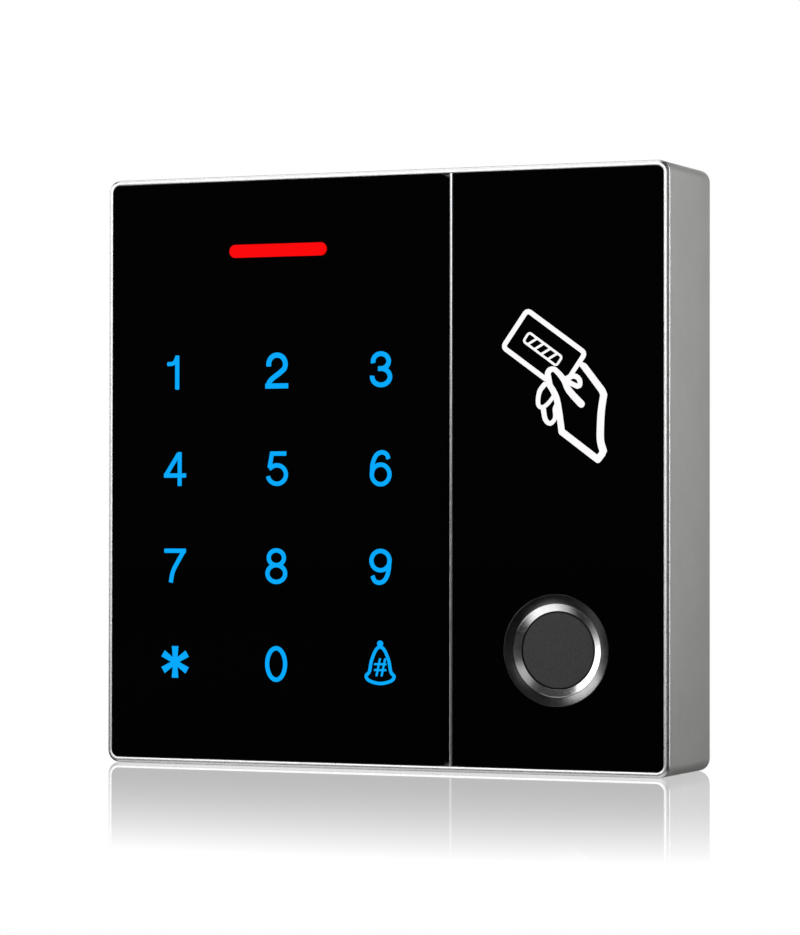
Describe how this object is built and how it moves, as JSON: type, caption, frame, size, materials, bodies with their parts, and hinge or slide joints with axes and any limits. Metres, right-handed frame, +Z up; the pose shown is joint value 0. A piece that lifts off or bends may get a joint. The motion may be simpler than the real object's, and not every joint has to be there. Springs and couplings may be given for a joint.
{
  "type": "keypad access reader",
  "caption": "Wall access reader with a touch keypad and a card panel behind black glass, a round fingerprint sensor, a die-cast silver frame and a hook-on wall bracket.",
  "frame": {"origin": "middle of the bracket's wall face, half way up the reader", "axes": "+Z up, +Y into the wall, so the glass front faces -Y; +X to the right as seen from the front"},
  "size_m": [0.1204, 0.0265, 0.118],
  "materials": {
    "cast_metal": "satin silver paint on die-cast zinc alloy",
    "black_glass": "polished glass, printed black behind",
    "foam_tape": "dark foam tape",
    "legend_blue": "clear window lit blue from behind",
    "status_red": "clear window lit red from behind",
    "printed_white": "white print",
    "milky_plastic": "milky light guide",
    "board_green": "solder mask on glass laminate",
    "white_plastic": "moulded white plastic",
    "dark_plastic": "moulded black plastic, fine texture",
    "copper": "enamelled copper wire",
    "ribbon_film": "amber flexible film",
    "turned_steel": "bright turned steel",
    "sensor_face": "matt dark grey coating",
    "black_rubber": "soft black rubber",
    "plated_steel": "zinc plated steel",
    "relay_blue": "glossy moulded plastic"
  },
  "bodies": {
    "housing": {"front_housing": "cast_metal", "keypad_glass": "black_glass", "reader_glass": "black_glass", "keypad_glass_tape": "foam_tape", "reader_glass_tape": "foam_tape", "digit_1": "legend_blue", "digit_2": "legend_blue", "digit_3": "legend_blue", "digit_4": "legend_blue", "digit_5": "legend_blue", "digit_6": "legend_blue", "digit_7": "legend_blue", "digit_8": "legend_blue", "digit_9": "legend_blue", "digit_0": "legend_blue", "bell_symbol": "legend_blue", "hash_symbol": "legend_blue", "star_symbol": "legend_blue", "status_light_window": "status_red", "card_symbol": "printed_white", "card_strip_symbol": "printed_white", "key_light_guide": "milky_plastic", "touch_board": "board_green", "key_light_1": "white_plastic", "key_light_2": "white_plastic", "status_light": "white_plastic", "antenna_carrier": "dark_plastic", "antenna_coil": "copper", "sensor_seat_ring": "dark_plastic", "sensor_bright_ring": "turned_steel", "fingerprint_disc": "sensor_face", "sensor_module_body": "dark_plastic", "sensor_board": "board_green", "sensor_seal_ring": "black_rubber", "sensor_nut": "plated_steel", "sensor_ribbon": "ribbon_film", "sensor_connector": "white_plastic", "main_board": "board_green", "processor_chip": "dark_plastic", "door_relay": "relay_blue", "buzzer": "dark_plastic", "power_capacitor": "plated_steel", "wiring_header": "white_plastic", "board_link": "dark_plastic", "board_screw_1": "plated_steel", "board_screw_2": "plated_steel", "board_screw_3": "plated_steel", "board_screw_4": "plated_steel", "tamper_switch": "dark_plastic", "tamper_spring": "plated_steel", "back_cover": "dark_plastic", "cover_gasket": "black_rubber", "cable_grommet": "black_rubber", "cover_screw_1": "plated_steel", "cover_screw_2": "plated_steel", "cover_screw_3": "plated_steel", "cover_screw_4": "plated_steel"},
    "bracket": {"wall_bracket": "plated_steel"},
    "lock_screw": {"lock_screw": "plated_steel"},
    "tamper_plunger": {"tamper_plunger": "white_plastic"}
  },
  "joints": [
    {"name": "bracket_hinge", "type": "hinge", "parent": "housing", "child": "bracket", "pos_m": [0, -0.0032, 0.046], "axis": [1, 0, 0], "range_deg": [0, 20]},
    {"name": "lock_screw_travel", "type": "slide", "parent": "housing", "child": "lock_screw", "axis": [0, 0, -1], "range_m": [0, 0.004]},
    {"name": "tamper_travel", "type": "slide", "parent": "housing", "child": "tamper_plunger", "axis": [0, 1, 0], "range_m": [-0.0015, 0], "stiffness_N_per_m": 300, "springref_m": 0.001, "deforming": ["tamper_spring"]}
  ]
}
